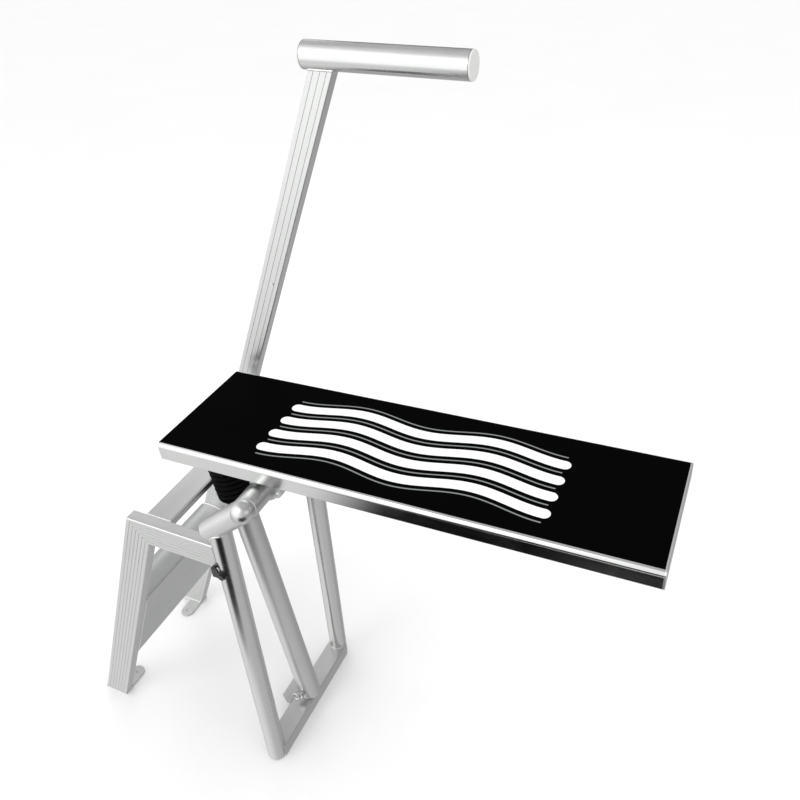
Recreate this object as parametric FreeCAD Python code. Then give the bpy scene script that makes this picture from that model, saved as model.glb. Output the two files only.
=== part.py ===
import FreeCAD, Part
import os, math

# Portable dock diving board: a rigid non-skid plank that rocks on a bent
# cross tube, with a black coil spring under its rear end.  The spring stands on a
# central strut inside a round-tube front frame.  The front frame hinges on a
# step-like rear stand of fluted rectangular tube, and a T-handle rises from
# the far rear leg.  Millimetres, +Z up, +X towards the tip, ground at Z=0.
# Origin: centre of the footprint box, on the ground.

V = FreeCAD.Vector
R = FreeCAD.Rotation
P = FreeCAD.Placement

# ---- driving dimensions -------------------------------------------------
BOARD_W = 305.0          # plank width
BOARD_L = 1064.5         # tip end of the plank, along the plank
BOARD_T = 41.5           # plank edge height
BOARD_Z = 1065.3         # top of the plank at X = 0 before centring
BOARD_R = 0.0            # rear end of the plank, along the plank
BOARD_PITCH = 2.15       # tip-up angle, degrees
GRIP_W = 290.0           # width of the non-skid sheet between the side rails
STAND_Y = 203.0          # outer face of the rear stand frames
FRAME_D = 30.0           # depth of the fluted extrusion across the stand
FRAME_W = 70.0           # wide face of the fluted extrusion
WALL = 2.5
RAIL_Z = 850.0           # top of the top rails
LEG_X0 = -461.0          # rear bottom corner of the rear legs
LEG_SLOPE = 0.412        # rear leg lean, x per z
LEG_R = 25.4             # front leg tube radius
FLEG_X = 148.0           # front leg axis
FLEG_Y = 184.5
FUL_X, FUL_Z, FUL_R = 242.0, 997.0, 26.5   # fulcrum cross tube
FUL_Y = 201.0            # half distance between the mitred bends
ARM_END = (122.0, 185.0, 886.0)
HINGE_Z = 772.0          # fold hinge axis height, x = FLEG_X
CB_W, CB_H = 58.0, 45.0  # front cross bar section
STRUT_R = 31.0
STRUT_X0, STRUT_S = 158.0, 0.1295          # strut axis x = X0 - S*z
SPRING_R, SPRING_WIRE, SPRING_PITCH = 49.0, 11.0, 14.5
SPRING_Z0, SPRING_TURNS = 826.0, 11
POST_W, POST_D = 48.0, 24.4
BAR_R = 25.4
BAR_X0, BAR_X1, BAR_Z = 266.0, 595.0, 1790.7
PLANK_X0, PLANK_X1, PLANK_T = -75.0, -3.0, 16.0
FOOT_T = 6.0
FOOT_HOLE_X, FOOT_HOLE_Y, FOOT_HOLE_R = -404.0, 128.0, 5.0

lean = math.degrees(math.atan(LEG_SLOPE))
leg_wx = FRAME_W / math.cos(math.radians(lean))
leg_cx0 = LEG_X0 + leg_wx / 2
frame_cy = STAND_Y - FRAME_D / 2
inner_y = STAND_Y - FRAME_D
ct, st = math.cos(math.radians(BOARD_PITCH)), math.sin(math.radians(BOARD_PITCH))

parts = {}


def box(x0, x1, y0, y1, z0, z1):
    return Part.makeBox(x1 - x0, y1 - y0, z1 - z0, V(x0, y0, z0))


def cyl(r, a, b):
    a, b = V(*a), V(*b)
    return Part.makeCylinder(r, (b - a).Length, a, b - a)


def half(point, normal, size=4000.0):
    """big block on the +normal side of a plane"""
    b = Part.makeBox(size, size, size, V(-size / 2, -size / 2, 0))
    b.Placement = P(V(*point), R(V(0, 0, 1), V(*normal)))
    return b


def placed(s, pos, axis=(0, 1, 0), ang=0.0):
    s = s.copy()
    s.Placement = P(V(*pos), R(V(*axis), ang)).multiply(s.Placement)
    return s


def fillet_long(s, r, axis):
    ed = []
    for e in s.Edges:
        d = e.Vertexes[1].Point - e.Vertexes[0].Point
        if d.Length > 1e-6 and abs(abs(d.dot(axis)) / d.Length - 1) < 1e-6:
            ed.append(e)
    return s.makeFillet(r, ed)


def fluted(w, d, z0, z1, wall, r, grooves, gw=1.6, gd=0.9):
    """rectangular tube along Z, wide faces on +-Y with shallow flutes"""
    s = fillet_long(box(-w / 2, w / 2, -d / 2, d / 2, z0, z1), r, V(0, 0, 1))
    if wall:
        s = s.cut(box(-w / 2 + wall, w / 2 - wall, -d / 2 + wall, d / 2 - wall, z0 - 1, z1 + 1))
    for g in grooves:
        for sy in (-1, 1):
            y0 = sy * d / 2
            s = s.cut(box(g - gw / 2, g + gw / 2, min(y0, y0 - sy * gd), max(y0, y0 - sy * gd), z0 - 1, z1 + 1))
    return s


FL5 = (-24.0, -14.4, -4.8, 4.8, 14.4, 24.0)

# ---- rear stand ----------------------------------------------------------
corner_out = (LEG_X0 + LEG_SLOPE * RAIL_Z, 0, RAIL_Z)
corner_in = (LEG_X0 + leg_wx + LEG_SLOPE * (RAIL_Z - FRAME_W), 0, RAIL_Z - FRAME_W)
mdx, mdz = corner_in[0] - corner_out[0], corner_in[2] - corner_out[2]
mitre_n = V(-mdz, 0, mdx)
mitre_n.normalize()
leg_dir = V(math.sin(math.radians(lean)), 0, math.cos(math.radians(lean)))
post_cut = placed(box(-POST_W / 2 - 0.3, POST_W / 2 + 0.3, -POST_D / 2 - 0.15, POST_D / 2 + 0.15, 500, 1500),
                  (leg_cx0, frame_cy, 0), ang=lean)
for side, sy in (("near", -1), ("far", 1)):
    y = sy * frame_cy
    leg = placed(fluted(FRAME_W, FRAME_D, -80, 1050, WALL, 3.0, FL5), (leg_cx0, y, 0), ang=lean)
    leg = leg.cut(half((0, 0, FOOT_T), (0, 0, -1))).cut(half(corner_out, mitre_n))
    rail = fluted(FRAME_W, FRAME_D, -150, FLEG_X + 20, WALL, 3.0, FL5)
    rail = placed(rail, (0, y, RAIL_Z - FRAME_W / 2), ang=90)
    rail = rail.cut(half(corner_out, (-mitre_n.x, 0, -mitre_n.z)))
    rail = rail.cut(cyl(LEG_R + 0.5, (FLEG_X, sy * FLEG_Y, 600), (FLEG_X, sy * FLEG_Y, 1000)))
    rail = rail.cut(box(FLEG_X - 12, 300, -400, 400, 600, 1000))
    if sy > 0:
        leg = leg.cut(post_cut)
        rail = rail.cut(post_cut)
    rail = max(rail.Solids, key=lambda s: s.Volume)
    leg = max(leg.Solids, key=lambda s: s.Volume)
    parts[side + "_rear_leg"] = leg
    parts[side + "_top_rail"] = rail
    # foot plate: under the leg, with a rounded inward tab that is bolted down
    fx0, fx1 = LEG_X0, LEG_X0 + leg_wx
    r = 21.0
    tab_x = FOOT_HOLE_X
    plate = box(fx0, fx1 + LEG_SLOPE * FOOT_T, -STAND_Y, -inner_y, 0, FOOT_T)
    tab = box(tab_x - r, tab_x + r, -inner_y - 2, -FOOT_HOLE_Y, 0, FOOT_T).fuse(
        cyl(r, (tab_x, -FOOT_HOLE_Y, 0), (tab_x, -FOOT_HOLE_Y, FOOT_T)))
    plate = plate.fuse(tab).cut(cyl(FOOT_HOLE_R, (tab_x, -FOOT_HOLE_Y, -1), (tab_x, -FOOT_HOLE_Y, 20))).removeSplitter()
    if sy > 0:
        plate = plate.mirror(V(0, 0, 0), V(0, 1, 0))
    parts[side + "_foot_plate"] = plate

# top plank: flat hollow extrusion with a grooved tread
plank = box(PLANK_X0, PLANK_X1, -inner_y, inner_y, RAIL_Z - PLANK_T, RAIL_Z)
plank = fillet_long(plank, 2.0, V(0, 1, 0))
for i in range(3):
    x0 = PLANK_X0 + 2.5 + i * 23.2
    plank = plank.cut(box(x0, x0 + 20.6, -400, 400, RAIL_Z - PLANK_T + 2.5, RAIL_Z - 2.5))
plank = plank.cut(box(PLANK_X1 - 5.5, PLANK_X1 - 4.0, -400, 400, RAIL_Z - 1.2, RAIL_Z + 1))
parts["top_plank"] = plank

# lower step: one folded sheet between the rear legs, a crowned tread with its
# rear edge turned down and a deep apron lying in the legs' front plane
STEP_T = 3.0
tread = [(-261.0, 507.0), (-256.5, 511.6), (-249.0, 516.0), (-238.0, 519.2), (-226.0, 520.0),
         (-212.0, 518.2), (-200.0, 515.2), (-188.0, 510.6), (-177.6, 505.6)]
apron_x = lambda z: -385.9 + LEG_SLOPE * z
low = (apron_x(222.0), 222.0)
inner_pts = []
for k, (px_, pz_) in enumerate(tread):
    qa, qb = tread[max(k - 1, 0)], tread[min(k + 1, len(tread) - 1)]
    dx_, dz_ = qb[0] - qa[0], qb[1] - qa[1]
    ln = math.hypot(dx_, dz_)
    inner_pts.append((px_ + dz_ / ln * STEP_T, pz_ - dx_ / ln * STEP_T))
nrm_a = (-leg_dir.z * STEP_T, leg_dir.x * STEP_T)      # rearward offset of the apron
low_i = (low[0] + nrm_a[0], low[1] + nrm_a[1])
corner_i = (apron_x(500.0) + nrm_a[0], 500.0 + nrm_a[1])
inner_pts[-1] = corner_i
v3 = lambda q, y: V(q[0], y, q[1])
y0 = -inner_y
so, si = Part.BSplineCurve(), Part.BSplineCurve()
so.interpolate([v3(q, y0) for q in tread])
si.interpolate([v3(q, y0) for q in reversed(inner_pts)])
step_w = Part.Wire([so.toShape(), Part.makeLine(v3(tread[-1], y0), v3(low, y0)), Part.makeLine(v3(low, y0), v3(low_i, y0)),
                    Part.makeLine(v3(low_i, y0), v3(corner_i, y0)), si.toShape(),
                    Part.makeLine(v3(inner_pts[0], y0), v3(tread[0], y0))])
step = Part.Face(step_w).extrude(V(0, 2 * inner_y, 0))
crease = [e for e in step.Edges if e.BoundBox.YLength > 100 and abs(e.BoundBox.ZMin - tread[-1][1]) < 0.01 and abs(e.BoundBox.XMin - tread[-1][0]) < 0.01]
parts["lower_step"] = step.makeFillet(3.0, crease)

# nylon guides that centre the handle post in the far leg
gd = []
for sx in (-1, 1):
    x0 = sx * (POST_W / 2 + 0.06)
    x1 = sx * (FRAME_W / 2 - WALL)
    gd.append(placed(box(min(x0, x1), max(x0, x1), -FRAME_D / 2 + WALL, FRAME_D / 2 - WALL, 780, 850),
                     (leg_cx0, frame_cy, 0), ang=lean))
parts["post_guides"] = Part.makeCompound(gd)

# fold hinge hardware: a short strap outside each leg, and a bolt through the
# tube's outer wall with its nut inside the tube
straps, bolts, nuts = [], [], []
for sy in (-1, 1):
    yo = FLEG_Y + LEG_R + 0.6           # strap outside the leg tube
    yi = FLEG_Y + 17.0                  # face of the nut inside the leg tube
    pl = box(FLEG_X - 26, FLEG_X, yo, yo + 4, HINGE_Z - 10, HINGE_Z + 18)
    pl = pl.cut(box(FLEG_X - 10, FLEG_X + 1, yo - 1, yo + 5, HINGE_Z + 10, HINGE_Z + 19))
    pl = pl.fuse(cyl(10, (FLEG_X, yo, HINGE_Z), (FLEG_X, yo + 4, HINGE_Z)))
    pl = pl.fuse(box(FLEG_X - 26, FLEG_X - 19, STAND_Y, yo + 1, HINGE_Z + 9, HINGE_Z + 18)).removeSplitter()
    pl = pl.cut(cyl(5.0, (FLEG_X, yo - 2, HINGE_Z), (FLEG_X, yo + 6, HINGE_Z)))
    b = cyl(5.0, (FLEG_X, yi - 6, HINGE_Z), (FLEG_X, yo + 4, HINGE_Z))
    hexa = Part.Face(Part.makePolygon([V(FLEG_X + 8.6 * math.cos(math.radians(60 * k)), yo + 4, HINGE_Z + 8.6 * math.sin(math.radians(60 * k))) for k in range(7)])).extrude(V(0, 4.5, 0))
    b = b.fuse(hexa)
    n = Part.Face(Part.makePolygon([V(FLEG_X + 9.2 * math.cos(math.radians(60 * k)), yi - 5, HINGE_Z + 9.2 * math.sin(math.radians(60 * k))) for k in range(7)])).extrude(V(0, 5, 0))
    n = n.cut(cyl(5.0, (FLEG_X, yi - 20, HINGE_Z), (FLEG_X, yi + 2, HINGE_Z)))
    if sy < 0:
        pl = pl.mirror(V(0, 0, 0), V(0, 1, 0))
        b = b.mirror(V(0, 0, 0), V(0, 1, 0))
        n = n.mirror(V(0, 0, 0), V(0, 1, 0))
    straps.append(pl)
    bolts.append(b)
    nuts.append(n)
parts["hinge_straps"] = Part.makeCompound(straps)
parts["hinge_bolts"] = Part.makeCompound(bolts)
parts["hinge_nuts"] = Part.makeCompound(nuts)

# ---- front frame -----------------------------------------------------------
# bent tube: mitred runs whose outer corner is rounded to a ball


def mitre_cut(sol, sy, keep_arm, r):
    """trim a run at the bend on one side; r is the radius of the run"""
    B, d_out, nrm, bis = bend(sy)
    sol = sol.cut(half(tuple(B), tuple(-nrm if keep_arm else nrm)))
    wedge = half(tuple(B + bis * 8), tuple(bis), 300.0)
    return sol.cut(wedge.cut(Part.makeSphere(r + 0.12, B)))


def bend(sy):
    B = V(FUL_X, sy * FUL_Y, FUL_Z)
    E = V(ARM_END[0], sy * ARM_END[1], ARM_END[2])
    d_out = E - B
    d_out.normalize()                    # along the arm
    d_c = V(0, -sy, 0)                   # along the cross tube towards the middle
    nrm = d_out - d_c                    # mitre normal pointing to the arm side
    nrm.normalize()
    bis = -(d_out + d_c)                 # out of the corner
    bis.normalize()
    return B, d_out, nrm, bis


runs = []
for r in (FUL_R, FUL_R - 3.5):
    t = cyl(r, (FUL_X, -FUL_Y - 60, FUL_Z), (FUL_X, FUL_Y + 60, FUL_Z))
    for sy in (-1, 1):
        t = mitre_cut(t, sy, False, r)
    runs.append(t)
ful = runs[0].cut(runs[1])
for sy in (-1, 1):
    B, d_out, nrm, bis = bend(sy)
    E = V(ARM_END[0], sy * ARM_END[1], ARM_END[2])
    a0 = B - d_out * 60
    arm = mitre_cut(Part.makeCylinder(FUL_R, (E - a0).Length, a0, d_out), sy, True, FUL_R)
    arm = arm.cut(mitre_cut(Part.makeCylinder(FUL_R - 3.5, (E - a0).Length + 2, a0, d_out), sy, True, FUL_R - 3.5))
    side = "near" if sy < 0 else "far"
    parts[side + "_fulcrum_arm"] = arm
    arm_full = Part.makeCylinder(FUL_R, (E - a0).Length + 3.2, a0, d_out)   # room for the end plug too
    leg = cyl(LEG_R, (FLEG_X, sy * FLEG_Y, 0), (FLEG_X, sy * FLEG_Y, 930))
    bot = [e for e in leg.Edges if e.BoundBox.ZMax < 0.1]
    leg = leg.makeFillet(7.0, bot)
    leg = leg.cut(cyl(LEG_R - 3.0, (FLEG_X, sy * FLEG_Y, 8), (FLEG_X, sy * FLEG_Y, 960)))
    leg = leg.cut(arm_full)
    up_n = V(0, 0, 1) - d_out * d_out.z
    up_n.normalize()
    leg = leg.cut(half(tuple(B), tuple(up_n)))
    leg = leg.cut(cyl(5.06, (FLEG_X, sy * (FLEG_Y + 8), HINGE_Z), (FLEG_X, sy * (FLEG_Y + 60), HINGE_Z)))
    leg = max(leg.Solids, key=lambda s: s.Volume)
    parts[side + "_front_leg"] = leg
parts["fulcrum_tube"] = ful
plugs = []
for sy in (-1, 1):
    B = V(FUL_X, sy * FUL_Y, FUL_Z)
    E = V(ARM_END[0], sy * ARM_END[1], ARM_END[2])
    u = (E - B)
    u.normalize()
    plugs.append(Part.makeCylinder(FUL_R - 3.5, 10, E - u * 9, u).fuse(Part.makeCylinder(FUL_R - 0.8, 2.0, E, u)).removeSplitter())
parts["arm_end_plugs"] = Part.makeCompound(plugs)

# set screws at the bends
scr = []
for sy in (-1, 1):
    n = V(0.10, sy * 0.86, -0.50)
    n.normalize()
    c = V(FUL_X, sy * (FUL_Y - 8), FUL_Z) + V(0, 0, 0)
    nn = V(0.62, 0, -0.78)
    nn.normalize()
    scr.append(Part.makeCylinder(4.5, 3.0, c + nn * (FUL_R - 1.2), nn))
parts["fulcrum_screws"] = Part.makeCompound(scr)
for nm in ("fulcrum_tube", "near_fulcrum_arm", "far_fulcrum_arm"):
    parts[nm] = parts[nm].cut(parts["fulcrum_screws"])

cb = fillet_long(box(FLEG_X - CB_W / 2, FLEG_X + CB_W / 2, -FLEG_Y, FLEG_Y, 0, CB_H), 3.0, V(0, 1, 0))
cb = cb.cut(box(FLEG_X - CB_W / 2 + 3, FLEG_X + CB_W / 2 - 3, -FLEG_Y - 1, FLEG_Y + 1, 3, CB_H - 3))
for sy in (-1, 1):
    cb = cb.cut(cyl(LEG_R, (FLEG_X, sy * FLEG_Y, -1), (FLEG_X, sy * FLEG_Y, 100)))
cb = cb.cut(half((0, 0, 0), (0, 0, -1)))
parts["front_crossbar"] = max(cb.Solids, key=lambda s: s.Volume)
# strut bracket: flat plate welded to the cross bar's rear face, flush with its top
BZ = CB_H
bx0 = FLEG_X - CB_W / 2
pl = Part.Face(Part.makePolygon([V(85, -44, BZ - 6), V(bx0 - 6, -61, BZ - 6), V(bx0, -61, BZ - 6), V(bx0, 61, BZ - 6),
                                 V(bx0 - 6, 61, BZ - 6), V(85, 44, BZ - 6), V(85, -44, BZ - 6)])).extrude(V(0, 0, 6))
parts["strut_bracket"] = pl
PIN_Z = 72.0
sx = lambda z: STRUT_X0 - STRUT_S * z
lug = box(sx(PIN_Z) - 15, sx(PIN_Z) + 15, -6, 6, BZ, PIN_Z).fuse(cyl(15, (sx(PIN_Z), -6, PIN_Z), (sx(PIN_Z), 6, PIN_Z)))
lug = lug.cut(cyl(6.06, (sx(PIN_Z), -10, PIN_Z), (sx(PIN_Z), 10, PIN_Z))).removeSplitter()
parts["strut_lug"] = lug

# central strut, leaning back towards the spring seat
S0, S1 = V(sx(20), 0, 20), V(sx(804), 0, 804)
sdir = S1 - S0
sdir.normalize()
strut = Part.makeCylinder(STRUT_R, (S1 - S0).Length, S0, sdir)
strut = strut.cut(Part.makeCylinder(STRUT_R - 3.2, (S1 - S0).Length + 2, S0 - sdir, sdir))
strut = strut.cut(half((0, 0, BZ + 1.5), (0, 0, -1)))
strut = strut.cut(cyl(6.06, (sx(PIN_Z), -60, PIN_Z), (sx(PIN_Z), 60, PIN_Z)))
strut = max(strut.Solids, key=lambda s: s.Volume)
parts["center_strut"] = strut
sp = lambda z: V(sx(z), 0, z)
# lower seat: cone from the strut up to the spring
t0, t1, t2 = sp(796), sp(816), sp(SPRING_Z0 - 4)
cone = Part.makeCone(STRUT_R + 3, SPRING_R - 3, (t1 - t0).Length, t0, sdir)
seat = cone.fuse(Part.makeCylinder(SPRING_R - 1, 5.0, t1, sdir))
seat = seat.cut(Part.makeCylinder(STRUT_R, 300, sp(700), sdir).common(Part.makeCylinder(STRUT_R, 400, S0, sdir).fuse(Part.makeCylinder(STRUT_R, (S1 - S0).Length, S0, sdir))).common(half((S1.x, 0, S1.z), (-sdir.x, 0, -sdir.z))))
seat = max(seat.Solids, key=lambda s: s.Volume).removeSplitter()
parts["lower_spring_seat"] = seat
zs = t1 + sdir * 5.0
# spring envelope: stacked turns, revolved
ri = SPRING_R - SPRING_WIRE
edges = []
n = SPRING_TURNS
H = n * SPRING_PITCH
rv = SPRING_R - 3.2
for i in range(n):
    a = V(rv, 0, i * SPRING_PITCH)
    m = V(SPRING_R, 0, (i + 0.5) * SPRING_PITCH)
    b = V(rv, 0, (i + 1) * SPRING_PITCH)
    edges.append(Part.Arc(a, m, b).toShape())
edges.append(Part.makeLine(V(rv, 0, H), V(ri, 0, H)))
edges.append(Part.makeLine(V(ri, 0, H), V(ri, 0, 0)))
edges.append(Part.makeLine(V(ri, 0, 0), V(rv, 0, 0)))
spr = Part.Face(Part.Wire(edges)).revolve(V(0, 0, 0), V(0, 0, 1), 360)
if spr.ShapeType != "Solid":
    spr = Part.makeSolid(spr) if spr.ShapeType == "Shell" else spr
spr.Placement = P(zs, R(V(0, 0, 1), sdir))
parts["coil_spring"] = spr
ze = zs + sdir * H

# release pin: straight pin with a collar and a pull ring on the near side
px = sx(PIN_Z)
pin = cyl(6.0, (px, -STRUT_R - 6, PIN_Z), (px, STRUT_R + 8, PIN_Z))
pin = pin.fuse(cyl(8.5, (px, -STRUT_R - 12, PIN_Z), (px, -STRUT_R - 2.0, PIN_Z)))
parts["release_pin"] = pin.removeSplitter()
ring = Part.makeTorus(11.0, 1.8, V(px - 13, -STRUT_R - 14.2, PIN_Z - 4), V(0, 1, 0))
parts["pin_ring"] = ring

# ---- plank ------------------------------------------------------------------
bp = P(V(0, 0, BOARD_Z), R(V(0, 1, 0), -BOARD_PITCH))
hw = BOARD_W / 2


def on_board(s):
    s = s.copy()
    s.Placement = bp.multiply(s.Placement)
    return s


gw = GRIP_W / 2


def edge_section(sy, pts_in, x0, x1):
    """side of the plank: a shoulder curve from the sheet's edge down to the
    vertical edge, closed by the inner points pts_in (|y|, z)"""
    q = lambda y, z: V(x0, sy * y, z)
    arc = Part.Arc(q(gw, 0), q(gw + 5.4, -3.4), q(hw, -12)).toShape()
    ar2 = Part.Arc(q(hw, -BOARD_T + 2), q(hw - 0.586, -BOARD_T + 0.586), q(hw - 2, -BOARD_T)).toShape()
    w = [arc, Part.makeLine(q(hw, -12), q(hw, -BOARD_T + 2)), ar2]
    last = (hw - 2, -BOARD_T)
    for p_ in pts_in + [(gw, 0)]:
        w.append(Part.makeLine(q(*last), q(*p_)))
        last = p_
    return Part.Face(Part.Wire(w)).extrude(V(x1 - x0, 0, 0))


XA, XB = BOARD_R + 2.0, BOARD_L - 4.5
core = box(XA, XB - 3, -gw + 2.3, gw - 2.3, -BOARD_T + 4, -2.0)
for i in range(6):
    y0 = -138.0 + i * 46.4
    core = core.cut(box(XA - 5, BOARD_L, y0, y0 + 44.0, -BOARD_T + 7.5, -6.0))
parts["board_core"] = on_board(core)
for side, sy in (("near", -1), ("far", 1)):
    # side rail: C section with a rounded outer shoulder
    rail_pts = [(hw - 24, -BOARD_T), (hw - 24, -BOARD_T + 4), (hw - 4, -BOARD_T + 4), (hw - 4, -6.5),
                (gw - 2, -6.5), (gw - 2, -2.3), (gw, -2.3)]
    parts[side + "_side_rail"] = on_board(edge_section(sy, rail_pts, XA, XB))
grip = box(BOARD_R, XB, -gw, gw, -2.0, 0.0)
parts["grip_surface"] = on_board(grip)


def full_section(x0, x1):
    a_ = edge_section(1, [(0, -BOARD_T), (0, 0)], x0, x1)
    b_ = edge_section(-1, [(0, -BOARD_T), (0, 0)], x0, x1)
    return a_.fuse(b_).removeSplitter()


tr = full_section(BOARD_R, XA).cut(box(BOARD_R - 1, XA + 1, -400, 400, -2.3, 5))
parts["rear_end_trim"] = on_board(tr)
tt = full_section(XB, BOARD_L)
rim = [e for e in tt.Edges if abs(e.BoundBox.XMin - BOARD_L) < 1e-6 and abs(e.BoundBox.XMax - BOARD_L) < 1e-6]
tt = tt.makeFillet(1.4, rim)
parts["tip_end_trim"] = on_board(tt)

# pivot clamps: bearing rings on the fulcrum tube with a saddle up to the plank
under = half(tuple(bp.multVec(V(0, 0, -BOARD_T))), (-st, 0, ct))
blts = []
for side, sy in (("near", -1), ("far", 1)):
    y0, y1 = sorted((sy * 103.0, sy * 127.0))
    ring_o = cyl(FUL_R + 7, (FUL_X, y0, FUL_Z), (FUL_X, y1, FUL_Z))
    sad = box(FUL_X - 34, FUL_X + 34, y0, y1, FUL_Z + 14, FUL_Z + 60)
    lugc = (FUL_X + 28, FUL_Z - 4)
    lg = cyl(15, (lugc[0], y0, lugc[1]), (lugc[0], y1, lugc[1]))
    arm2 = box(lugc[0] - 15, lugc[0] + 15, y0, y1, lugc[1], FUL_Z + 60)
    cl = ring_o.fuse([sad, lg, arm2])
    cl = cl.cut(under)
    cl = cl.cut(cyl(FUL_R + 0.06, (FUL_X, y0 - 5, FUL_Z), (FUL_X, y1 + 5, FUL_Z)))
    bx = lugc[0] + 6.5
    bz = lugc[1]
    cl = cl.cut(cyl(3.0, (bx, y0 - 5, bz), (bx, y1 + 5, bz)))
    cl = max(cl.Solids, key=lambda q: q.Volume).removeSplitter()
    parts[side + "_pivot_clamp"] = cl
    blts.append(cyl(3.0, (bx, y0, bz), (bx, y1, bz)))
parts["clamp_bolts"] = Part.makeCompound(blts)

# upper spring seat: cup under the plank's rear end
seat_top = Part.makeCylinder(SPRING_R + 2, 7, ze, sdir).fuse(Part.makeCylinder(30, 120, ze, sdir))
pad_b = box(-22, 58, -56, 56, 0, 6)
pad_b.Placement = bp.multiply(P(V(sx(BOARD_Z - BOARD_T - 3), 0, -BOARD_T - 6), R())).multiply(P(V(0, 0, 0), R()))
cup = seat_top.fuse(pad_b).cut(under)
cup = max(cup.Solids, key=lambda q: q.Volume)
parts["upper_spring_seat"] = cup

# ---- handle ------------------------------------------------------------------
post = placed(fluted(POST_W, POST_D, 770, 2100, WALL, 2.5, (-13.0, 0.0, 13.0)), (leg_cx0, frame_cy, 0), ang=lean)
bar_full = cyl(BAR_R, (BAR_X0 - 50, frame_cy, BAR_Z), (BAR_X1 + 50, frame_cy, BAR_Z))
post = post.cut(half((0, 0, BAR_Z), (0, 0, 1))).cut(bar_full)
post = max(post.Solids, key=lambda q: q.Volume)
BTN_Z = 1308.0
bx = leg_cx0 + LEG_SLOPE * BTN_Z
post = post.cut(cyl(4.06, (bx + 8, frame_cy - 40, BTN_Z), (bx + 8, frame_cy, BTN_Z)))
parts["handle_post"] = post
parts["handle_bar"] = cyl(BAR_R, (BAR_X0 + 4, frame_cy, BAR_Z), (BAR_X1 - 4, frame_cy, BAR_Z)).cut(
    cyl(BAR_R - 2.5, (BAR_X0, frame_cy, BAR_Z), (BAR_X1, frame_cy, BAR_Z)))
for nm, xe, sg in (("rear_bar_cap", BAR_X0, 1), ("front_bar_cap", BAR_X1, -1)):
    c = cyl(BAR_R, (xe, frame_cy, BAR_Z), (xe + sg * 4, frame_cy, BAR_Z))
    e = [k for k in c.Edges if abs(k.BoundBox.XMin - xe) < 1e-6 and abs(k.BoundBox.XMax - xe) < 1e-6]
    c = c.makeFillet(2.2, e)
    c = c.fuse(cyl(BAR_R - 2.6, (xe + sg * 3, frame_cy, BAR_Z), (xe + sg * 14, frame_cy, BAR_Z)))
    parts[nm] = c.removeSplitter()
btn = cyl(4.0, (bx + 8, frame_cy - POST_D / 2 - 1.5, BTN_Z), (bx + 8, frame_cy - POST_D / 2 + 6, BTN_Z))
btn = btn.fuse(cyl(5.5, (bx + 8, frame_cy - POST_D / 2 + WALL + 0.3, BTN_Z), (bx + 8, frame_cy - POST_D / 2 + WALL + 2.3, BTN_Z)))
parts["snap_button"] = btn.removeSplitter()

# ---- write --------------------------------------------------------------------
allb = FreeCAD.BoundBox()
for s in parts.values():
    allb.add(s.BoundBox)
x_lo = LEG_X0                                    # rear bottom corners of the rear legs
x_hi = BOARD_L * ct + BOARD_T * st               # lower corner of the tip
shift = V(-(x_lo + x_hi) / 2, 0, 0)
os.makedirs("parts", exist_ok=True)
for name, s in parts.items():
    s = s.copy()
    s.translate(shift)
    s.exportStep("parts/%s.step" % name)
    b = s.BoundBox
    print("%-20s %-9s valid=%s solids=%d vol=%.0f  x %.1f..%.1f y %.1f..%.1f z %.1f..%.1f" % (
        name, s.ShapeType, s.isValid(), len(s.Solids), s.Volume, b.XMin, b.XMax, b.YMin, b.YMax, b.ZMin, b.ZMax))
print("shift", shift)
print("box", allb)
print("fold axis", FLEG_X + shift.x, HINGE_Z, "fulcrum", FUL_X + shift.x, FUL_Z, "leg dir", leg_dir, "strut dir", sdir,
      "spring", zs + shift, ze + shift, "pin", px + shift.x, PIN_Z, "btn", bx + 8 + shift.x, frame_cy, BTN_Z)
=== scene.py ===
import bpy
import bmesh
import math
from mathutils import Vector, Matrix, Quaternion


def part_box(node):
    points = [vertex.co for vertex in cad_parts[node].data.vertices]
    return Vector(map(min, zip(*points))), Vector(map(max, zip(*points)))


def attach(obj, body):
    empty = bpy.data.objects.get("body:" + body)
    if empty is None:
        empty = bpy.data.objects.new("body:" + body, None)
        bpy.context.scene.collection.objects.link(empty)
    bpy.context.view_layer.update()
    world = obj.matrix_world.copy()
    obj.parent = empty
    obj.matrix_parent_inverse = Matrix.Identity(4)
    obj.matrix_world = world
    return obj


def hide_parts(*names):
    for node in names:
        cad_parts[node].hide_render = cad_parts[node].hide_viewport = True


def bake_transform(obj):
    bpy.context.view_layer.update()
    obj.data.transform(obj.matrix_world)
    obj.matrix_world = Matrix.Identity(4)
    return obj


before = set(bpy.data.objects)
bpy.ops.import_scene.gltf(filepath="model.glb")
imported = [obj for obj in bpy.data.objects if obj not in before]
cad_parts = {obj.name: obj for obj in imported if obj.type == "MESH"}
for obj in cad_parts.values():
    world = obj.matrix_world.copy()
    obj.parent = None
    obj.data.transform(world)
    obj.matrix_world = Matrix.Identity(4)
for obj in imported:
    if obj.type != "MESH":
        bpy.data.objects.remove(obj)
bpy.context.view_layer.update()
scene = bpy.context.scene

# ------------------------------------------------------------------ geometry anchors (metres)
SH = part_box("near_foot_plate")[0].x + 0.461


def C(x, y, z):
    """a point given in the model's working millimetres"""
    return Vector((x / 1000 + SH, y / 1000, z / 1000))


LEG_DIR = Vector((0.380936, 0, 0.924601))
STRUT_DIR = Vector((-0.1284276, 0, 0.9917189))
PITCH = math.radians(2.15)
BOARD_DIR = Vector((math.cos(PITCH), 0, math.sin(PITCH)))
BOARD_UP = Vector((-math.sin(PITCH), 0, math.cos(PITCH)))
BOARD_O = C(0, 0, 1065.3)
SPRING_A = C(51.686, 0, 820.959)
SPRING_B = C(31.202, 0, 979.138)


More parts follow.
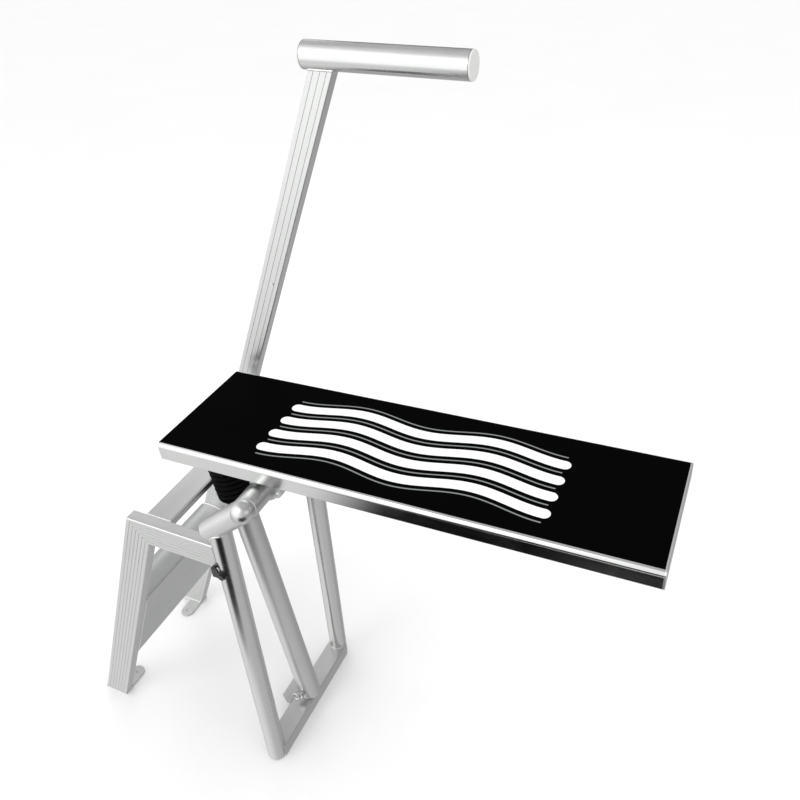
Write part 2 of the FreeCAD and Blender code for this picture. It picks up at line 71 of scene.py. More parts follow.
# ------------------------------------------------------------------ camera
def make_camera():
    cam = bpy.data.cameras.new("camera")
    ob = bpy.data.objects.new("camera", cam)
    scene.collection.objects.link(ob)
    m = Matrix(((0.9147601, -0.2096241, 0.3453573, 1.07235909 + SH),
                (0.4024345, 0.5479308, -0.7333609, -1.09844605),
                (-0.0355018, 0.809833, 0.5855853, 2.10378048),
                (0, 0, 0, 1)))
    ob.matrix_world = m
    cam.sensor_width = 36
    cam.lens = 35.0749
    cam.shift_x = -0.0239633
    cam.shift_y = -0.0021979
    cam.clip_start, cam.clip_end = 0.05, 60
    scene.camera = ob
    return ob


make_camera()


# ------------------------------------------------------------------ node helpers
class Mat:
    """small builder for procedural materials in the row frame's object coordinates"""

    def __init__(self, name):
        self.m = bpy.data.materials.new(name)
        self.m.use_nodes = True
        self.n = self.m.node_tree.nodes
        self.l = self.m.node_tree.links
        self.n.clear()
        self.out = self.n.new("ShaderNodeOutputMaterial")
        self.b = self.n.new("ShaderNodeBsdfPrincipled")
        self.l.new(self.b.outputs["BSDF"], self.out.inputs["Surface"])
        self.tc = self.n.new("ShaderNodeTexCoord")
        self.co = self.tc.outputs["Object"]

    def link(self, a, b):
        self.l.new(a, b)

    def mapping(self, src, loc=(0, 0, 0), rot=(0, 0, 0), scale=(1, 1, 1)):
        n = self.n.new("ShaderNodeMapping")
        n.inputs["Location"].default_value = loc
        n.inputs["Rotation"].default_value = rot
        n.inputs["Scale"].default_value = scale
        self.link(src, n.inputs["Vector"])
        return n.outputs["Vector"]

    def along(self, axis, origin=(0, 0, 0)):
        """coordinates turned so that axis is local Z"""
        q = Vector(axis).rotation_difference(Vector((0, 0, 1)))
        a = self.mapping(self.co, loc=tuple(-Vector(origin)))
        return self.mapping(a, rot=tuple(q.to_euler()))

    def noise(self, vec, scale=5.0, detail=3.0, rough=0.55, dist=0.0):
        n = self.n.new("ShaderNodeTexNoise")
        n.inputs["Scale"].default_value = scale
        n.inputs["Detail"].default_value = detail
        n.inputs["Roughness"].default_value = rough
        n.inputs["Distortion"].default_value = dist
        self.link(vec, n.inputs["Vector"])
        return n.outputs["Fac"]

    def ramp(self, src, stops):
        n = self.n.new("ShaderNodeValToRGB")
        e = n.color_ramp.elements
        while len(e) > 1:
            e.remove(e[-1])
        e[0].position, e[0].color = stops[0][0], (*stops[0][1], 1)
        for p, c in stops[1:]:
            k = e.new(p)
            k.color = (*c, 1)
        self.link(src, n.inputs["Fac"])
        return n.outputs["Color"]

    def rng(self, src, a, b, c, d, clamp=True):
        n = self.n.new("ShaderNodeMapRange")
        n.clamp = clamp
        for k, v in zip(("From Min", "From Max", "To Min", "To Max"), (a, b, c, d)):
            n.inputs[k].default_value = v
        self.link(src, n.inputs["Value"])
        return n.outputs["Result"]

    def math(self, op, a, b=None, c=None, clamp=False):
        n = self.n.new("ShaderNodeMath")
        n.operation = op
        n.use_clamp = clamp
        for i, v in enumerate((a, b, c)):
            if v is None:
                continue
            if isinstance(v, (int, float)):
                n.inputs[i].default_value = v
            else:
                self.link(v, n.inputs[i])
        return n.outputs[0]

    def mix(self, fac, a, b, blend="MIX"):
        n = self.n.new("ShaderNodeMix")
        n.data_type = "RGBA"
        n.blend_type = blend
        for k, v in (("Factor", fac), ("A", a), ("B", b)):
            s = [i for i in n.inputs if i.name == k and (i.type == ("VALUE" if k == "Factor" else "RGBA"))][0]
            if isinstance(v, (int, float)):
                s.default_value = v
            elif isinstance(v, tuple):
                s.default_value = (*v, 1)
            else:
                self.link(v, s)
        return [o for o in n.outputs if o.type == "RGBA"][0]

    def sep(self, vec):
        n = self.n.new("ShaderNodeSeparateXYZ")
        self.link(vec, n.inputs[0])
        return n.outputs

    def bump(self, height, strength=0.2, dist=0.0005, normal=None):
        n = self.n.new("ShaderNodeBump")
        n.inputs["Strength"].default_value = strength
        n.inputs["Distance"].default_value = dist
        self.link(height, n.inputs["Height"])
        if normal is not None:
            self.link(normal, n.inputs["Normal"])
        return n.outputs["Normal"]

    def set(self, **kw):
        for k, v in kw.items():
            s = self.b.inputs[k.replace("_", " ")]
            if hasattr(v, "is_linked") or isinstance(v, bpy.types.NodeSocket):
                self.link(v, s)
            elif isinstance(v, tuple) and len(v) == 3:
                s.default_value = (*v, 1)
            else:
                s.default_value = v


def satin(name, axis, base=(0.64, 0.645, 0.64), rough=0.30, streak=0.04, var=0.025, origin=(0, 0, 0), fine=520.0,
          scuff=0.15, aniso=0.25, metal=1.0):
    """extruded, satin anodised aluminium: die lines along axis, faint blotches, sparse handling scuffs"""
    m = Mat(name)
    v = m.along(axis, origin)
    lines = m.noise(m.mapping(v, scale=(fine, fine, 2.2)), 1.0, 4.0, 0.65)
    broad = m.noise(m.mapping(v, scale=(90, 90, 0.9)), 1.0, 2.0, 0.5)
    blot = m.noise(v, 9.0, 4.0, 0.6)
    grit = m.noise(v, 2600.0, 1.0, 0.5)
    scr = m.noise(m.mapping(v, rot=(0.5, 0.9, 0.2), scale=(240, 11, 11)), 1.0, 2.0, 0.5, 0.4)
    scr = m.rng(scr, 0.71, 0.75, 0.0, 1.0)
    dark = tuple(c * (1 - var * 2.2) for c in base)
    lite = tuple(min(1.0, c * (1 + var)) for c in base)
    col = m.ramp(m.rng(blot, 0.3, 0.7, 0, 1), [(0.0, dark), (0.5, base), (1.0, lite)])
    col = m.mix(m.rng(lines, 0.35, 0.65, 0.0, 0.5), col, tuple(c * (1 - var) for c in base))
    col = m.mix(m.math("MULTIPLY", scr, scuff * 0.5), col, tuple(c * 0.72 for c in base))
    r = m.rng(lines, 0.3, 0.7, rough - streak, rough + streak)
    r = m.math("ADD", r, m.rng(blot, 0.35, 0.7, -0.02, 0.05))
    r = m.math("ADD", r, m.math("MULTIPLY", scr, scuff * 0.3), clamp=True)
    h = m.math("ADD", m.math("MULTIPLY", lines, 0.6), m.math("MULTIPLY", broad, 0.5))
    h = m.math("ADD", h, m.math("MULTIPLY", grit, 0.35))
    m.set(Base_Color=col, Metallic=metal, Roughness=r, Anisotropic=aniso, Normal=m.bump(h, 0.03, 0.00015))
    return m.m


def weld_mat():
    m = Mat("weld_bead")
    n = m.noise(m.co, 420.0, 3.0)
    col = m.ramp(n, [(0.25, (0.55, 0.55, 0.54)), (0.6, (0.80, 0.80, 0.79)), (1.0, (0.92, 0.92, 0.91))])
    m.set(Base_Color=col, Metallic=1.0, Roughness=m.rng(n, 0.2, 0.8, 0.22, 0.42), Normal=m.bump(n, 0.35, 0.0004))
    return m.m


def plated(name, base, rough, metal=1.0, wear=0.3):
    """bright plated fastener with fine turning marks and dull spots"""
    m = Mat(name)
    n = m.noise(m.co, 900.0, 3.0)
    k = m.noise(m.co, 160.0, 4.0)
    col = m.mix(m.rng(k, 0.5, 0.75, 0, wear), base, tuple(c * 0.55 for c in base))
    m.set(Base_Color=col, Metallic=metal, Roughness=m.rng(n, 0.3, 0.7, rough - 0.06, rough + 0.10),
          Normal=m.bump(n, 0.12, 0.0002))
    return m.m


def coated(name, base, rough, wear_col, wear=0.2, peel=260.0, spec=0.4):
    """powder coat: orange peel, dust in the hollows, rubbed spots"""
    m = Mat(name)
    p = m.noise(m.co, peel, 2.0)
    k = m.noise(m.co, 55.0, 5.0, 0.7)
    col = m.mix(m.rng(k, 0.62, 0.72, 0, wear), base, wear_col)
    m.set(Base_Color=col, Metallic=0.0, Roughness=m.rng(k, 0.3, 0.75, rough - 0.05, rough + 0.14),
          Specular_IOR_Level=spec, Normal=m.bump(p, 0.18, 0.0004))
    return m.m


def moulded(name, base, rough):
    """moulded plastic: fine spark texture and slight mottling"""
    m = Mat(name)
    p = m.noise(m.co, 1500.0, 2.0)
    k = m.noise(m.co, 40.0, 3.0)
    col = m.mix(m.rng(k, 0.35, 0.7, 0, 0.35), base, tuple(c * 0.88 for c in base))
    m.set(Base_Color=col, Metallic=0.0, Roughness=m.rng(k, 0.3, 0.7, rough - 0.05, rough + 0.08),
          Normal=m.bump(p, 0.15, 0.0002))
    return m.m


ALU = {
    "leg": satin("alu_leg_extrusion", LEG_DIR, rough=0.34),
    "rail": satin("alu_rail_extrusion", (1, 0, 0), rough=0.34),
    "cross": satin("alu_cross_extrusion", (0, 1, 0), rough=0.36),
    "plank": satin("alu_plank_extrusion", (0, 1, 0), base=(0.62, 0.625, 0.62), rough=0.38),
    "panel": satin("alu_panel_sheet", (0, 1, 0), base=(0.62, 0.625, 0.625), rough=0.38, fine=260.0),
    "plate": satin("alu_foot_plate", (0, 1, 0), base=(0.64, 0.645, 0.64), rough=0.36, fine=300.0),
    "tube_z": satin("alu_tube_legs", (0, 0, 1), rough=0.22, fine=380.0),
    "tube_s": satin("alu_tube_strut", STRUT_DIR, rough=0.33, fine=380.0),
    "tube_y": satin("alu_tube_cross", (0, 1, 0), rough=0.33, fine=380.0),
    "tube_x": satin("alu_handle_bar", (1, 0, 0), rough=0.24, fine=380.0),
    "arm_n": satin("alu_arm_near", (-0.7242, 0.0965, -0.6699), rough=0.33, fine=380.0),
    "arm_f": satin("alu_arm_far", (-0.7242, -0.0965, -0.6699), rough=0.33, fine=380.0),
    "edge": satin("alu_side_rails", BOARD_DIR, rough=0.15, streak=0.02, fine=420.0, scuff=0.2, aniso=0.0),
    "trim": satin("alu_end_trims", (0, 1, 0), base=(0.80, 0.80, 0.80), rough=0.30, fine=420.0),
}
WELD = weld_mat()
BLACK = coated("black_powder_coat", (0.003, 0.003, 0.0032), 0.60, (0.012, 0.012, 0.012), 0.25, spec=0.05)
BLACK_HW = coated("black_hardware", (0.012, 0.012, 0.013), 0.30, (0.22, 0.21, 0.20), 0.5, 400.0)
CAST = plated("as_cast_grey", (0.66, 0.67, 0.67), 0.45, 0.85, 0.25)
PLATED = plated("bright_plating", (0.80, 0.80, 0.80), 0.16, 1.0, 0.25)
STAINLESS = plated("stainless_turned", (0.66, 0.66, 0.66), 0.20, 1.0, 0.2)
NYLON = moulded("nylon_guides", (0.55, 0.55, 0.53), 0.5)
CORE = moulded("plank_core", (0.74, 0.74, 0.72), 0.45)
PLUG = moulded("grey_plug", (0.62, 0.63, 0.63), 0.38)


def cap_mat(name, seam_x):
    """light grey moulded cap with a thin dark line where it meets the bar"""
    m = Mat(name)
    k = m.noise(m.co, 60.0, 3.0)
    f = m.noise(m.co, 1400.0, 2.0)
    x = m.sep(m.co)[0]
    d = m.math("ABSOLUTE", m.math("SUBTRACT", x, seam_x))
    line = m.rng(d, 0.0007, 0.0012, 1.0, 0.0)
    col = m.mix(m.rng(k, 0.35, 0.7, 0, 0.4), (0.70, 0.70, 0.68), (0.60, 0.61, 0.60))
    col = m.mix(line, col, (0.03, 0.03, 0.03))
    m.set(Base_Color=col, Roughness=m.rng(k, 0.3, 0.7, 0.34, 0.46), Normal=m.bump(f, 0.12, 0.0002))
    return m.m


def grip_mat():
    """black non-skid grit with a printed abstract ripple graphic"""
    m = Mat("grip_surface_print")
    q = BOARD_UP.rotation_difference(Vector((0, 0, 1)))
    v = m.mapping(m.mapping(m.co, loc=tuple(-BOARD_O)), rot=tuple(q.to_euler()))
    s = m.sep(v)
    u, w = s[0], s[1]                      # metres along and across the plank
    # evenly spaced wave bands of constant width with rounded ends, thin lines between them
    x0, x1 = 0.225, 0.835
    uc = m.math("MINIMUM", m.math("MAXIMUM", u, x0), x1)
    du = m.math("SUBTRACT", u, uc)
    wave = m.math("MULTIPLY", m.math("SINE", m.math("MULTIPLY", uc, 20.6)), 0.0115)

    def band(yc, half):
        dw = m.math("SUBTRACT", m.math("SUBTRACT", w, yc), wave)
        d = m.math("SQRT", m.math("ADD", m.math("MULTIPLY", du, du), m.math("MULTIPLY", dw, dw)))
        return m.rng(d, half - 0.0003, half + 0.0003, 1.0, 0.0)

    white = None
    for yc in (-0.072, -0.024, 0.024, 0.072):
        k = band(yc, 0.0125)
        white = k if white is None else m.math("MAXIMUM", white, k)
    thin = None
    for yc in (-0.096, -0.048, 0.0, 0.048, 0.096):
        k = band(yc, 0.0016)
        thin = k if thin is None else m.math("MAXIMUM", thin, k)
    grit = m.noise(m.co, 2100.0, 2.0, 0.6)
    grit2 = m.noise(m.co, 700.0, 3.0, 0.6)
    wearn = m.noise(m.co, 7.0, 4.0, 0.6)
    blk = m.ramp(grit, [(0.0, (0.0006, 0.0006, 0.0006)), (0.62, (0.001, 0.001, 0.0011)), (0.80, (0.006, 0.006, 0.006)), (1.0, (0.02, 0.02, 0.02))])
    wht = m.ramp(grit, [(0.0, (0.70, 0.70, 0.70)), (0.5, (0.88, 0.88, 0.88)), (1.0, (0.93, 0.93, 0.93))])
    gry = m.ramp(grit, [(0.0, (0.15, 0.16, 0.16)), (0.5, (0.22, 0.235, 0.235)), (1.0, (0.30, 0.31, 0.31))])
    col = m.mix(thin, blk, gry)
    col = m.mix(white, col, wht)
    h = m.math("ADD", m.math("MULTIPLY", grit, 1.0), m.math("MULTIPLY", grit2, 0.6))
    m.set(Base_Color=col, Metallic=0.0, Roughness=m.rng(wearn, 0.3, 0.7, 0.80, 0.92), Specular_IOR_Level=0.02,
          Normal=m.bump(h, 0.35, 0.0005))
    return m.m


GRIP = grip_mat()
bar_lo, bar_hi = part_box("handle_bar")
assign = {
    "near_rear_leg": ALU["leg"], "far_rear_leg": ALU["leg"], "near_top_rail": ALU["rail"], "far_top_rail": ALU["rail"],
    "near_foot_plate": ALU["plate"], "far_foot_plate": ALU["plate"], "top_plank": ALU["plank"], "lower_step": ALU["panel"],
    "post_guides": NYLON, "hinge_straps": BLACK_HW,
    "hinge_bolts": BLACK_HW, "hinge_nuts": PLATED,
    "near_front_leg": ALU["tube_z"], "far_front_leg": ALU["tube_z"], "near_fulcrum_arm": ALU["arm_n"],
    "far_fulcrum_arm": ALU["arm_f"], "fulcrum_tube": ALU["tube_y"], "arm_end_plugs": PLUG, "fulcrum_screws": PLATED,
    "front_crossbar": ALU["cross"], "strut_bracket": ALU["plate"], "strut_lug": ALU["plate"], "center_strut": ALU["tube_s"],
    "lower_spring_seat": BLACK, "coil_spring": BLACK,
    "board_core": CORE, "near_side_rail": ALU["edge"], "far_side_rail": ALU["edge"], "grip_surface": GRIP,
    "rear_end_trim": ALU["trim"], "tip_end_trim": ALU["trim"], "near_pivot_clamp": CAST, "far_pivot_clamp": CAST,
    "clamp_bolts": PLATED, "upper_spring_seat": BLACK,
    "release_pin": STAINLESS, "pin_ring": STAINLESS,
    "handle_post": ALU["leg"], "handle_bar": ALU["tube_x"],
    "rear_bar_cap": cap_mat("rear_cap_plastic", bar_lo.x), "front_bar_cap": cap_mat("front_cap_plastic", bar_hi.x),
    "snap_button": STAINLESS,
}
for node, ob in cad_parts.items():
    mat = assign[node]
    if len(ob.material_slots) == 0:
        ob.data.materials.append(mat)
    for s in ob.material_slots:
        s.material = mat


# ------------------------------------------------------------------ mesh helpers
def new_mesh(name, verts, faces, mat, smooth=True):
    me = bpy.data.meshes.new(name)
    me.from_pydata([tuple(v) for v in verts], [], faces)
    me.update()
    bm = bmesh.new()
    bm.from_mesh(me)
    bmesh.ops.recalc_face_normals(bm, faces=bm.faces)
    bm.to_mesh(me)
    bm.free()
    for p in me.polygons:
        p.use_smooth = smooth
    ob = bpy.data.objects.new(name, me)
    me.materials.append(mat)
    scene.collection.objects.link(ob)
    return ob


def frames_along(pts, closed):
    """parallel-transported frames along a polyline"""
    n = len(pts)
    tans = []
    for i in range(n):
        if closed:
            t = pts[(i + 1) % n] - pts[i - 1]
        else:
            t = pts[min(i + 1, n - 1)] - pts[max(i - 1, 0)]
        tans.append(t.normalized())
    up = tans[0].orthogonal().normalized()
    out = []
    for i, t in enumerate(tans):
        if i:
            q = tans[i - 1].rotation_difference(t)
            up = q @ up
        up = (up - t * up.dot(t)).normalized()
        out.append((up, t.cross(up)))
    return out


def sweep(name, pts, radius, mat, seg=16, closed=False, squash=1.0):
    """a round section swept along pts; radius may be a function of the index"""
    fr = frames_along(pts, closed)
    verts, faces = [], []
    n = len(pts)
    for i, p in enumerate(pts):
        r = radius(i) if callable(radius) else radius
        a, b = fr[i]
        for k in range(seg):
            th = 2 * math.pi * k / seg
            verts.append(p + a * (r * math.cos(th)) + b * (r * math.sin(th) * squash))
    for i in range(n if closed else n - 1):
        j = (i + 1) % n
        for k in range(seg):
            l = (k + 1) % seg
            faces.append((i * seg + k, i * seg + l, j * seg + l, j * seg + k))
    if not closed:
        faces.append(tuple(range(seg)))
        faces.append(tuple(range((n - 1) * seg, n * seg)))
    return new_mesh(name, verts, faces, mat)


def lathe(name, origin, axis, prof, mat, seg=48):
    """prof: (radius, height along axis) pairs"""
    axis = Vector(axis).normalized()
    a = axis.orthogonal().normalized()
    b = axis.cross(a)
    verts, faces = [], []
    for r, h in prof:
        for k in range(seg):
            th = 2 * math.pi * k / seg
            verts.append(Vector(origin) + axis * h + a * (r * math.cos(th)) + b * (r * math.sin(th)))
    for i in range(len(prof) - 1):
        for k in range(seg):
            l = (k + 1) % seg
            faces.append((i * seg + k, i * seg + l, (i + 1) * seg + l, (i + 1) * seg + k))
    faces.append(tuple(range(seg)))
    faces.append(tuple(range((len(prof) - 1) * seg, len(prof) * seg)))
    return new_mesh(name, verts, faces, mat)


def resample(pts, step, closed):
    out, seq = [], pts + ([pts[0]] if closed else [])
    acc = 0.0
    out.append(seq[0].copy())
    for a, b in zip(seq, seq[1:]):
        d = (b - a).length
        while acc + d >= step:
            k = (step - acc) / d
            a = a.lerp(b, k)
            d = (b - a).length
            out.append(a.copy())
            acc = 0.0
        acc += d
    if closed and (out[-1] - out[0]).length < step * 0.5:
        out.pop()
    return out


def weld(name, pts, body, r=0.0028, closed=False, pitch=0.0034):
    """a rippled fillet bead: overlapping puddles along the joint line"""
    step = pitch / 4
    p = resample(pts, step, closed)
    ob = sweep(name, p, lambda i: r * (0.86 + 0.14 * abs(math.sin(math.pi * i / 4.0)) + 0.05 * math.sin(i * 0.37)), WELD, 12, closed)
    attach(ob, body)
    return ob

# ------------------------------------------------------------------ coil spring: one round-wire helix
def coil_spring():
    d = (SPRING_B - SPRING_A)
    H = d.length
    ax = d.normalized()
    a = ax.orthogonal().normalized()
    b = ax.cross(a)
    wire, R = 0.0055, 0.0433
    turns = 11.0
    seg_t = 40
    n = int(turns * seg_t)
    pts = []
    full = turns - 0.75
    for i in range(n + 1):
        s = turns * i / n
        # the end turns run out flat on the seats
        if s < 0.75:
            z = 0.5 * s * s / 0.75
        elif s > turns - 0.75:
            z = full - 0.5 * (turns - s) ** 2 / 0.75
        else:
            z = s - 0.375
        zz = wire + (H - 2 * wire) * z / full
        th = 2 * math.pi * s
        pts.append(SPRING_A + ax * zz + a * (R * math.cos(th)) + b * (R * math.sin(th)))
    ob = sweep("spring_helix", pts, wire, BLACK, 14)
    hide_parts("coil_spring")
    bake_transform(ob)
    return ob


coil_spring()


# ------------------------------------------------------------------ welds
def ring_pts(c, axis, r, n=72, a0=0.0, a1=2 * math.pi):
    axis = Vector(axis).normalized()
    a = axis.orthogonal().normalized()
    b = axis.cross(a)
    m = n if abs(a1 - a0 - 2 * math.pi) < 1e-6 else n + 1
    return [Vector(c) + a * (r * math.cos(a0 + (a1 - a0) * i / n)) + b * (r * math.sin(a0 + (a1 - a0) * i / n)) for i in range(m)]


def proj_to_cyl(p, d, c, axis, r):
    """first hit of the ray p + t d with a cylinder"""
    axis = Vector(axis).normalized()
    w = p - Vector(c)
    dp = d - axis * d.dot(axis)
    wp = w - axis * w.dot(axis)
    A, B, Cc = dp.dot(dp), 2 * dp.dot(wp), wp.dot(wp) - r * r
    disc = B * B - 4 * A * Cc
    if disc < 0:
        disc = 0
    t = (-B - math.sqrt(disc)) / (2 * A)
    return p + d * t


# post to handle bar: outline of the rectangular post projected on the bar
post_c = C(-461 + 70 / math.cos(math.atan(0.412)) / 2, 188, 0)
w, dpt = 0.0240, 0.0122
ex = Vector((LEG_DIR.z, 0, -LEG_DIR.x))
ey = Vector((0, 1, 0))
bar_c = C(430, 188, 1790.7)
outline = []
N = 14
for (ax_, ay_), (bx_, by_) in (((-w, -dpt), (w, -dpt)), ((w, -dpt), (w, dpt)), ((w, dpt), (-w, dpt)), ((-w, dpt), (-w, -dpt))):
    for i in range(N):
        k = i / N
        u, v = ax_ + (bx_ - ax_) * k, ay_ + (by_ - ay_) * k
        p = post_c + LEG_DIR * 1.6 + ex * u + ey * v
        outline.append(proj_to_cyl(p, LEG_DIR, bar_c, (1, 0, 0), 0.0254))
weld("weld_post_bar", outline, "handle", 0.0026, True)

# front legs to the fulcrum arms
for side, sy in (("near", -1), ("far", 1)):
    B = C(242, sy * 201, 997)
    E_ = C(122, sy * 185, 886)
    dd = (E_ - B).normalized()
    pts = []
    for i in range(72):
        th = 2 * math.pi * i / 72
        p = C(148, sy * 184.5, 700) + Vector((0.0256 * math.cos(th), 0.0256 * math.sin(th), 0))
        pts.append(proj_to_cyl(p, Vector((0, 0, 1)), B, dd, 0.0265))
    weld(side + "_weld_leg_arm", pts, "front_frame", 0.0026, True)
    # leg to the cross bar: round the leg over the bar's top face
    pts = []
    for i in range(49):
        th = -math.pi / 2 + math.pi * (i / 48 - 0.5) * 0.98 * 1.0
        ang = (math.pi / 2 if sy < 0 else -math.pi / 2) + math.pi * (i / 48 - 0.5) * 0.99
        pts.append(C(148, sy * 184.5, 45.6) + Vector((0.0258 * math.cos(ang), 0.0258 * math.sin(ang), 0)))
    weld(side + "_weld_leg_bar", pts, "front_frame", 0.0025, False)

# strut bracket to the cross bar's rear face
weld("bracket_weld", [C(119, -61, 45.4), C(119, 61, 45.4)], "front_frame", 0.0018)
# pivot lug on the cross bar
lx = 158 - 0.1295 * 72
weld("lug_weld", [C(lx - 15, -6.5, 45.5), C(lx + 15, -6.5, 45.5), C(lx + 15, 6.5, 45.5), C(lx - 15, 6.5, 45.5)], "front_frame", 0.0018, True)

# rear legs on their foot plates, lower step and top plank between the frames
TREAD = [(-261.0, 507.0), (-256.5, 511.6), (-249.0, 516.0), (-238.0, 519.2), (-226.0, 520.0), (-212.0, 518.2), (-200.0, 515.2), (-188.0, 510.6), (-179.5, 506.5)]
for side, sy in (("near", -1), ("far", 1)):
    weld(side + "_weld_foot", [C(-457, sy * 172.6, 6.8), C(-384, sy * 172.6, 6.8)], "rear_stand", 0.0022)
    weld(side + "_weld_tread", [C(x, sy * 172.0, z + 0.6) for x, z in TREAD[2:]], "rear_stand", 0.0026)
    weld(side + "_weld_apron", [C(-385.6 + 0.412 * z, sy * 172.4, z) for z in (498, 400, 300, 226)], "rear_stand", 0.0018)
    weld(side + "_weld_plank", [C(-74, sy * 172, 849.2), C(-4, sy * 172, 849.2)], "rear_stand", 0.0018)

# ------------------------------------------------------------------ socket screws at the bends
def hex_screw(name, c, axis, r, body):
    axis = Vector(axis).normalized()
    a = axis.orthogonal().normalized()
    b = axis.cross(a)
    rings = [(r, -0.0018, 0), (r, 0.0004, 0), (r - 0.0005, 0.0010, 0), (r * 0.62, 0.0011, 0), (r * 0.55, 0.0008, 1), (r * 0.52, -0.0012, 1)]
    seg = 36
    verts, faces = [], []
    for rr, h, hexa in rings:
        for k in range(seg):
            th = 2 * math.pi * k / seg
            q = rr
            if hexa:
                m6 = (th % (math.pi / 3)) - math.pi / 6
                q = rr * math.cos(math.pi / 6) / math.cos(m6)
            verts.append(c + axis * h + a * (q * math.cos(th)) + b * (q * math.sin(th)))
    for i in range(len(rings) - 1):
        for k in range(seg):
            l = (k + 1) % seg
            faces.append((i * seg + k, i * seg + l, (i + 1) * seg + l, (i + 1) * seg + k))
    faces.append(tuple(range(seg)))
    faces.append(tuple(range((len(rings) - 1) * seg, len(rings) * seg)))
    ob = new_mesh(name, verts, faces, BLACK_HW, smooth=False)
    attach(ob, body)
    return ob


for side, sy in (("near", -1), ("far", 1)):
    nn = Vector((0.62, 0, -0.78)).normalized()
    c = C(242, sy * 193, 997) + nn * 0.0265
    hex_screw(side + "_bend_screw", c, nn, 0.0045, "front_frame")
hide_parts("fulcrum_screws")

# ------------------------------------------------------------------ studio
def floor_mat():
    m = Mat("studio_floor")
    k = m.noise(m.co, 1.2, 2.0)
    col = m.ramp(k, [(0.0, (0.86, 0.86, 0.86)), (1.0, (0.89, 0.89, 0.89))])
    m.set(Base_Color=col, Roughness=0.85, Specular_IOR_Level=0.1)
    return m.m


def grid(name, size, z, mat, n=8):
    verts, faces = [], []
    for j in range(n + 1):
        for i in range(n + 1):
            verts.append(((i / n - 0.5) * size, (j / n - 0.5) * size, z))
    for j in range(n):
        for i in range(n):
            k = j * (n + 1) + i
            faces.append((k, k + 1, k + n + 2, k + n + 1))
    return new_mesh(name, verts, faces, mat)


floor = grid("studio_floor", 30.0, -0.0004, floor_mat())
floor.visible_glossy = False


def reflection_only_dark_card():
    """painted dark reflection: a dark patch on the studio floor ahead of the tip, with soft borders; only reflections
    see it, so it paints dark reflections into the metal parts
    """
    m = Mat("dark_cloth_mat")
    q = m.sep(m.co)
    x = m.math("MULTIPLY", m.math("SUBTRACT", q[0], SH), 1.0)
    y = m.math("MULTIPLY", q[1], 1.0)
    front = m.rng(y, -0.54, -0.78, 0.0, 1.0)
    left = m.rng(x, -0.30, -0.02, 0.0, 1.0)
    edge = m.math("ADD", m.math("MULTIPLY", m.math("ADD", y, 0.729), -2.2), 0.50)
    right = m.rng(m.math("SUBTRACT", edge, x), -0.10, 0.08, 0.0, 1.0)
    dark_reflection_cover = m.math("MULTIPLY", m.math("MULTIPLY", front, left), right)
    # near-black where the soft-bordered mask covers: a painted dark reflection, hidden from camera, diffuse light and
    # shadows
    m.set(Base_Color=(0.004, 0.004, 0.004), Roughness=1.0, Specular_IOR_Level=0.0, Alpha=dark_reflection_cover)
    x0, x1, y0, y1 = -0.75, 2.60, -3.2, -0.5
    v = [(x0 + (x1 - x0) * i / 6, y0 + (y1 - y0) * k / 6, 0.012) for k in range(7) for i in range(7)]
    f = [(k * 7 + i, k * 7 + i + 1, k * 7 + i + 8, k * 7 + i + 7) for k in range(6) for i in range(6)]
    ob = new_mesh("reflection_only_dark_card", [Vector(p) for p in v], f, m.m, smooth=False)
    ob.visible_camera = False
    ob.visible_diffuse = False
    ob.visible_shadow = False
    ob.visible_transmission = False


reflection_only_dark_card()


def area(name, loc, target, size, size_y, power, color=(1, 1, 1)):
    l = bpy.data.lights.new(name, "AREA")
    l.shape = "RECTANGLE"
    l.size, l.size_y, l.energy, l.color = size, size_y, power, color
    ob = bpy.data.objects.new(name, l)
    ob.location = loc
    ob.rotation_mode = "QUATERNION"
    ob.rotation_quaternion = (Vector(target) - Vector(loc)).to_track_quat("-Z", "Y")
    scene.collection.objects.link(ob)
    return ob


area("key", (-1.6, -3.2, 3.6), (0, 0, 0.9), 2.6, 2.0, 35)
area("fill", (3.4, -1.6, 2.4), (0, 0, 0.8), 2.0, 2.0, 10)
area("top", (0.2, 0.3, 4.6), (0, 0, 0.5), 3.0, 3.0, 10)
area("back", (-2.6, 2.8, 2.6), (0, 0, 0.9), 1.6, 2.0, 10)

world = bpy.data.worlds.new("studio_world")
scene.world = world
world.use_nodes = True
wn, wl = world.node_tree.nodes, world.node_tree.links
wn.clear()
wo = wn.new("ShaderNodeOutputWorld")
bg = wn.new("ShaderNodeBackground")
tc = wn.new("ShaderNodeTexCoord")
sp = wn.new("ShaderNodeSeparateXYZ")
wl.new(tc.outputs["Generated"], sp.inputs[0])


def wmath(op, a, b=None):
    n = wn.new("ShaderNodeMath")
    n.operation = op
    for i, v in enumerate((a, b)):
        if v is None:
            continue
        if isinstance(v, (int, float)):
            n.inputs[i].default_value = v
        else:
            wl.new(v, n.inputs[i])
    return n.outputs[0]


def wrange(v, a, b):
    n = wn.new("ShaderNodeMapRange")
    n.inputs["From Min"].default_value = a
    n.inputs["From Max"].default_value = b
    wl.new(v, n.inputs["Value"])
    return n.outputs["Result"]


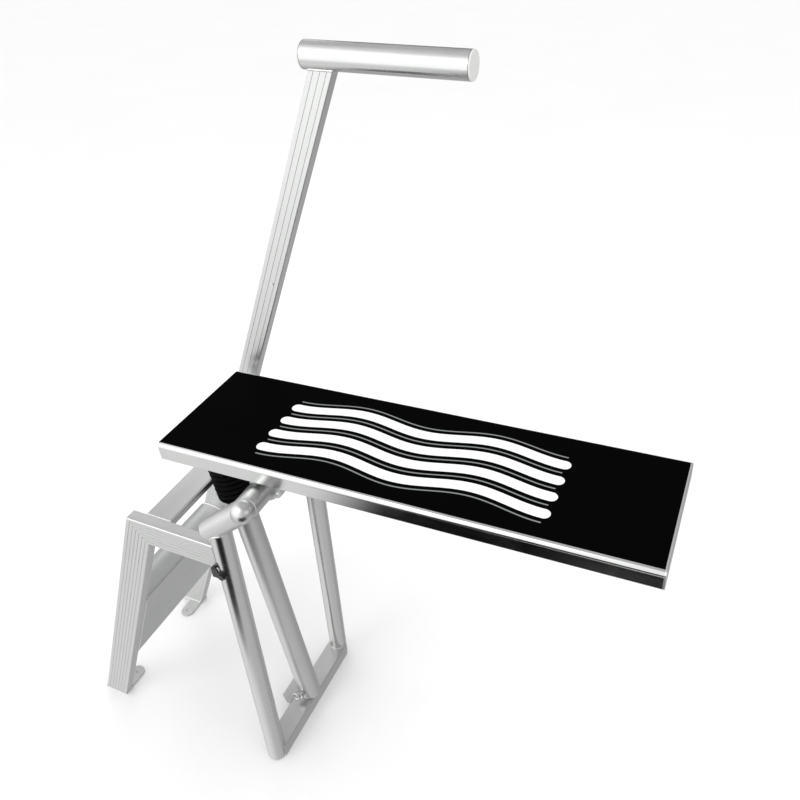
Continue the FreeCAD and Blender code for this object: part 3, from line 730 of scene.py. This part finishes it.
def wramp(v, stops):
    """stops: (azimuth in degrees from -Y, radiance); the ramp holds half the radiance"""
    n = wn.new("ShaderNodeValToRGB")
    e = n.color_ramp.elements
    while len(e) > 1:
        e.remove(e[-1])
    for i, (a, c) in enumerate(stops):
        k = e[0] if i == 0 else e.new((a + 180) / 360)
        k.position = (a + 180) / 360
        k.color = (c / 2, c / 2 * 1.005, c / 2, 1)
    wl.new(v, n.inputs["Fac"])
    return n.outputs["Color"]


def wmix(fac, a, b):
    n = wn.new("ShaderNodeMix")
    n.data_type = "RGBA"
    s_ = {}
    for q in n.inputs:
        if q.name == "Factor" and q.type == "VALUE":
            s_["f"] = q
        if q.name in ("A", "B") and q.type == "RGBA":
            s_[q.name] = q
    wl.new(fac, s_["f"])
    for key, v in (("A", a), ("B", b)):
        if isinstance(v, tuple):
            s_[key].default_value = (*v, 1)
        else:
            wl.new(v, s_[key])
    return [o for o in n.outputs if o.type == "RGBA"][0]


# soft box ahead and to the left, dark gap straight ahead and below, dimmer room behind
azim = wmath("ARCTAN2", sp.outputs[0], wmath("MULTIPLY", sp.outputs[1], -1.0))
azim = wrange(azim, -math.pi, math.pi)
low = wramp(azim, [(-180, 0.62), (-120, 0.50), (-75, 0.95), (-30, 1.0), (0, 0.9), (30, 0.70), (60, 0.66), (100, 0.62), (135, 0.42), (162, 0.50), (180, 0.62)])
mid = wramp(azim, [(-180, 0.16), (-150, 0.20), (-115, 0.55), (-75, 1.5), (-15, 1.6), (15, 0.8), (60, 0.45), (120, 0.25), (180, 0.16)])
high = wramp(azim, [(-180, 0.50), (-135, 0.62), (-90, 0.90), (-65, 1.5), (-15, 1.5), (20, 0.7), (60, 0.45), (120, 0.42), (180, 0.50)])
env = wmix(wrange(sp.outputs[2], -0.50, -0.28), low, mid)
env = wmix(wrange(sp.outputs[2], 0.30, 0.55), env, high)
zen = wmix(wrange(sp.outputs[2], 0.78, 0.95), env, (0.14, 0.14, 0.14))
lp = wn.new("ShaderNodeLightPath")
final = wmix(lp.outputs["Is Glossy Ray"], (0.56, 0.56, 0.56), zen)
wl.new(final, bg.inputs["Color"])
bg.inputs["Strength"].default_value = 2.0
wl.new(bg.outputs[0], wo.inputs[0])
scene.view_settings.view_transform = "Standard"
scene.view_settings.look = "None"
